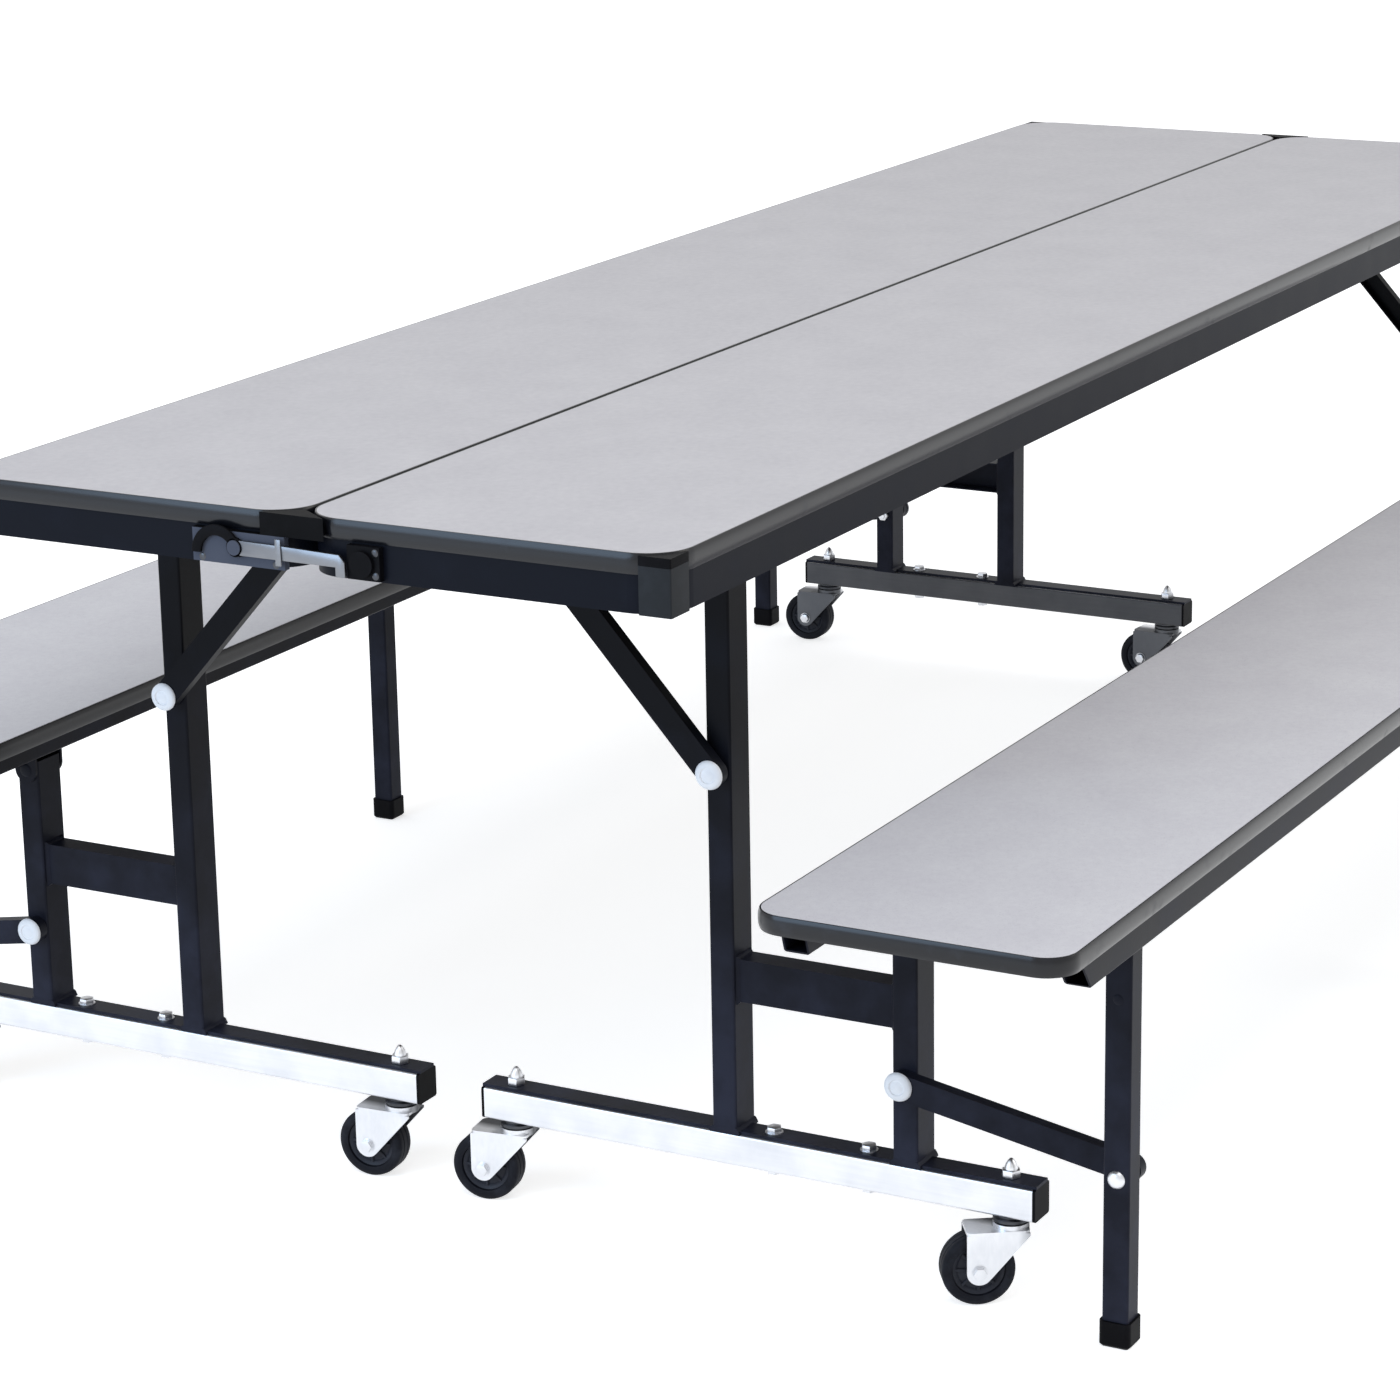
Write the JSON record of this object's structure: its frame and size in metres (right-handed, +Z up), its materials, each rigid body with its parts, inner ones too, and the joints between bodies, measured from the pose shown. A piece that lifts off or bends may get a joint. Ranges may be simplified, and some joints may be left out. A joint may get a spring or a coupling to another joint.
{
  "type": "cafeteria folding table with benches",
  "caption": "Long table of mirrored rolling units latched side by side; each has a tilting half top and a fold-up bench on a steel frame with casters.",
  "frame": {"origin": "middle of the table's footprint, on the floor", "axes": "+X along the table's length, +Y across it towards the left unit's bench, +Z up"},
  "size_m": [2.4838, 1.502, 0.737],
  "materials": {
    "laminate": "satin",
    "edge_black": "satin",
    "black_powder": "satin",
    "bright_zinc": "satin",
    "white_plastic": "satin",
    "black_plastic": "satin",
    "tread_black": "matte"
  },
  "bodies": {
    "frames": {"beam_end_caps": "black_plastic", "frame_bolts": "bright_zinc", "pivot_bolts": "white_plastic", "end_frame_near_left": "black_powder", "base_beam_near_left": "bright_zinc", "end_frame_far_left": "black_powder", "base_beam_far_left": "bright_zinc", "end_frame_near_right": "black_powder", "base_beam_near_right": "bright_zinc", "end_frame_far_right": "black_powder", "base_beam_far_right": "bright_zinc"},
    "brace_near_left": {"brace_near_left": "black_powder"},
    "strut_near_left": {"strut_near_left": "black_powder"},
    "brace_far_left": {"brace_far_left": "black_powder"},
    "strut_far_left": {"strut_far_left": "black_powder"},
    "top_left": {"top_board_left": "laminate", "top_edge_left": "edge_black", "top_underframe_left": "black_powder", "latch_body": "black_powder"},
    "bench_left": {"bench_board_left": "laminate", "bench_edge_left": "edge_black", "bench_stringers_left": "black_powder", "bench_brackets_left": "black_powder"},
    "legs_left": {"outer_legs_left": "black_powder", "leg_tips_left": "black_plastic", "leg_bolts_left": "bright_zinc"},
    "brace_near_right": {"brace_near_right": "black_powder"},
    "strut_near_right": {"strut_near_right": "black_powder"},
    "brace_far_right": {"brace_far_right": "black_powder"},
    "strut_far_right": {"strut_far_right": "black_powder"},
    "top_right": {"top_board_right": "laminate", "top_edge_right": "edge_black", "top_underframe_right": "black_powder", "latch_keeper": "black_powder"},
    "bench_right": {"bench_board_right": "laminate", "bench_edge_right": "edge_black", "bench_stringers_right": "black_powder", "bench_brackets_right": "black_powder"},
    "legs_right": {"outer_legs_right": "black_powder", "leg_tips_right": "black_plastic", "leg_bolts_right": "bright_zinc"},
    "caster_fork_near_left_inner": {"caster_fork_near_left_inner": "bright_zinc"},
    "caster_wheel_near_left_inner": {"caster_wheel_near_left_inner": "tread_black"},
    "caster_fork_near_left_outer": {"caster_fork_near_left_outer": "bright_zinc"},
    "caster_wheel_near_left_outer": {"caster_wheel_near_left_outer": "tread_black"},
    "caster_fork_far_left_inner": {"caster_fork_far_left_inner": "bright_zinc"},
    "caster_wheel_far_left_inner": {"caster_wheel_far_left_inner": "tread_black"},
    "caster_fork_far_left_outer": {"caster_fork_far_left_outer": "bright_zinc"},
    "caster_wheel_far_left_outer": {"caster_wheel_far_left_outer": "tread_black"},
    "caster_fork_near_right_inner": {"caster_fork_near_right_inner": "bright_zinc"},
    "caster_wheel_near_right_inner": {"caster_wheel_near_right_inner": "tread_black"},
    "caster_fork_near_right_outer": {"caster_fork_near_right_outer": "bright_zinc"},
    "caster_wheel_near_right_outer": {"caster_wheel_near_right_outer": "tread_black"},
    "caster_fork_far_right_inner": {"caster_fork_far_right_inner": "bright_zinc"},
    "caster_wheel_far_right_inner": {"caster_wheel_far_right_inner": "tread_black"},
    "caster_fork_far_right_outer": {"caster_fork_far_right_outer": "bright_zinc"},
    "caster_wheel_far_right_outer": {"caster_wheel_far_right_outer": "tread_black"},
    "latch_lever_near": {"latch_lever_near": "bright_zinc"},
    "latch_lever_far": {"latch_lever_far": "bright_zinc"}
  },
  "joints": [
    {"name": "top_tilt_left", "type": "hinge", "parent": "frames", "child": "top_left", "pos_m": [0, 0.305, 0.664], "axis": [-1, 0, 0], "range_deg": [0, 80]},
    {"name": "bench_fold_left", "type": "hinge", "parent": "frames", "child": "bench_left", "pos_m": [0, 0.494, 0.372], "axis": [1, 0, 0], "range_deg": [0, 88]},
    {"name": "legs_follow_left", "type": "hinge", "parent": "bench_left", "child": "legs_left", "pos_m": [0, 0.721, 0.332], "axis": [-1, 0, 0], "range_deg": [0, 88]},
    {"name": "brace_follow_near_left", "type": "hinge", "parent": "frames", "child": "brace_near_left", "pos_m": [-1.01, 0.305, 0.4765], "axis": [-1, 0, 0], "range_deg": [0, 45.2]},
    {"name": "strut_follow_near_left", "type": "hinge", "parent": "frames", "child": "strut_near_left", "pos_m": [-1.01, 0.494, 0.202], "axis": [1, 0, 0], "range_deg": [0, 88]},
    {"name": "brace_follow_far_left", "type": "hinge", "parent": "frames", "child": "brace_far_left", "pos_m": [1.01, 0.305, 0.4765], "axis": [-1, 0, 0], "range_deg": [0, 45.2]},
    {"name": "strut_follow_far_left", "type": "hinge", "parent": "frames", "child": "strut_far_left", "pos_m": [1.01, 0.494, 0.202], "axis": [1, 0, 0], "range_deg": [0, 88]},
    {"name": "top_tilt_right", "type": "hinge", "parent": "frames", "child": "top_right", "pos_m": [0, -0.305, 0.664], "axis": [1, 0, 0], "range_deg": [0, 80]},
    {"name": "bench_fold_right", "type": "hinge", "parent": "frames", "child": "bench_right", "pos_m": [0, -0.494, 0.372], "axis": [-1, 0, 0], "range_deg": [0, 88]},
    {"name": "legs_follow_right", "type": "hinge", "parent": "bench_right", "child": "legs_right", "pos_m": [0, -0.721, 0.332], "axis": [1, 0, 0], "range_deg": [0, 88]},
    {"name": "brace_follow_near_right", "type": "hinge", "parent": "frames", "child": "brace_near_right", "pos_m": [-1.01, -0.305, 0.4765], "axis": [1, 0, 0], "range_deg": [0, 45.2]},
    {"name": "strut_follow_near_right", "type": "hinge", "parent": "frames", "child": "strut_near_right", "pos_m": [-1.01, -0.494, 0.202], "axis": [-1, 0, 0], "range_deg": [0, 88]},
    {"name": "brace_follow_far_right", "type": "hinge", "parent": "frames", "child": "brace_far_right", "pos_m": [1.01, -0.305, 0.4765], "axis": [1, 0, 0], "range_deg": [0, 45.2]},
    {"name": "strut_follow_far_right", "type": "hinge", "parent": "frames", "child": "strut_far_right", "pos_m": [1.01, -0.494, 0.202], "axis": [-1, 0, 0], "range_deg": [0, 88]},
    {"name": "swivel_near_left_inner", "type": "hinge", "parent": "frames", "child": "caster_fork_near_left_inner", "pos_m": [-0.9921, 0.067, 0.08], "axis": [0, 0, 1], "continuous": true},
    {"name": "roll_near_left_inner", "type": "hinge", "parent": "caster_fork_near_left_inner", "child": "caster_wheel_near_left_inner", "pos_m": [-0.99484, 0.09838, 0.0345], "axis": [0.9962, 0.0872, 0], "continuous": true},
    {"name": "swivel_near_left_outer", "type": "hinge", "parent": "frames", "child": "caster_fork_near_left_outer", "pos_m": [-0.9921, 0.594, 0.08], "axis": [0, 0, 1], "continuous": true},
    {"name": "roll_near_left_outer", "type": "hinge", "parent": "caster_fork_near_left_outer", "child": "caster_wheel_near_left_outer", "pos_m": [-0.98717, 0.62511, 0.0345], "axis": [0.9877, -0.1564, 0], "continuous": true},
    {"name": "swivel_far_left_inner", "type": "hinge", "parent": "frames", "child": "caster_fork_far_left_inner", "pos_m": [0.9921, 0.067, 0.08], "axis": [0, 0, 1], "continuous": true},
    {"name": "roll_far_left_inner", "type": "hinge", "parent": "caster_fork_far_left_inner", "child": "caster_wheel_far_left_inner", "pos_m": [0.9943, 0.09842, 0.0345], "axis": [0.9976, -0.0698, 0], "continuous": true},
    {"name": "swivel_far_left_outer", "type": "hinge", "parent": "frames", "child": "caster_fork_far_left_outer", "pos_m": [0.9921, 0.594, 0.08], "axis": [0, 0, 1], "continuous": true},
    {"name": "roll_far_left_outer", "type": "hinge", "parent": "caster_fork_far_left_outer", "child": "caster_wheel_far_left_outer", "pos_m": [0.99045, 0.62546, 0.0345], "axis": [0.9986, 0.0523, 0], "continuous": true},
    {"name": "swivel_near_right_inner", "type": "hinge", "parent": "frames", "child": "caster_fork_near_right_inner", "pos_m": [-0.9921, -0.067, 0.08], "axis": [0, 0, 1], "continuous": true},
    {"name": "roll_near_right_inner", "type": "hinge", "parent": "caster_fork_near_right_inner", "child": "caster_wheel_near_right_inner", "pos_m": [-0.99648, -0.03581, 0.0345], "axis": [0.9903, 0.1392, 0], "continuous": true},
    {"name": "swivel_near_right_outer", "type": "hinge", "parent": "frames", "child": "caster_fork_near_right_outer", "pos_m": [-0.9921, -0.594, 0.08], "axis": [0, 0, 1], "continuous": true},
    {"name": "roll_near_right_outer", "type": "hinge", "parent": "caster_fork_near_right_outer", "child": "caster_wheel_near_right_outer", "pos_m": [-1.00971, -0.56788, 0.0345], "axis": [0.829, 0.5592, 0], "continuous": true},
    {"name": "swivel_far_right_inner", "type": "hinge", "parent": "frames", "child": "caster_fork_far_right_inner", "pos_m": [0.9921, -0.067, 0.08], "axis": [0, 0, 1], "continuous": true},
    {"name": "roll_far_right_inner", "type": "hinge", "parent": "caster_fork_far_right_inner", "child": "caster_wheel_far_right_inner", "pos_m": [0.98555, -0.03619, 0.0345], "axis": [0.9781, 0.2079, 0], "continuous": true},
    {"name": "swivel_far_right_outer", "type": "hinge", "parent": "frames", "child": "caster_fork_far_right_outer", "pos_m": [0.9921, -0.594, 0.08], "axis": [0, 0, 1], "continuous": true},
    {"name": "roll_far_right_outer", "type": "hinge", "parent": "caster_fork_far_right_outer", "child": "caster_wheel_far_right_outer", "pos_m": [0.99648, -0.56281, 0.0345], "axis": [0.9903, -0.1392, 0], "continuous": true},
    {"name": "latch_turn_near", "type": "hinge", "parent": "top_left", "child": "latch_lever_near", "pos_m": [-1.2386, 0.06, 0.702], "axis": [-1, 0, 0], "range_deg": [0, 40]},
    {"name": "latch_turn_far", "type": "hinge", "parent": "top_left", "child": "latch_lever_far", "pos_m": [1.2386, 0.06, 0.702], "axis": [-1, 0, 0], "range_deg": [0, 40]}
  ],
  "couplings": [
    {"joint": "legs_follow_left", "follows": "bench_fold_left", "ratio": 1},
    {"joint": "brace_follow_near_left", "follows": "top_tilt_left", "ratio": 0.565},
    {"joint": "strut_follow_near_left", "follows": "bench_fold_left", "ratio": 1},
    {"joint": "brace_follow_far_left", "follows": "top_tilt_left", "ratio": 0.565},
    {"joint": "strut_follow_far_left", "follows": "bench_fold_left", "ratio": 1},
    {"joint": "legs_follow_right", "follows": "bench_fold_right", "ratio": 1},
    {"joint": "brace_follow_near_right", "follows": "top_tilt_right", "ratio": 0.565},
    {"joint": "strut_follow_near_right", "follows": "bench_fold_right", "ratio": 1},
    {"joint": "brace_follow_far_right", "follows": "top_tilt_right", "ratio": 0.565},
    {"joint": "strut_follow_far_right", "follows": "bench_fold_right", "ratio": 1}
  ]
}
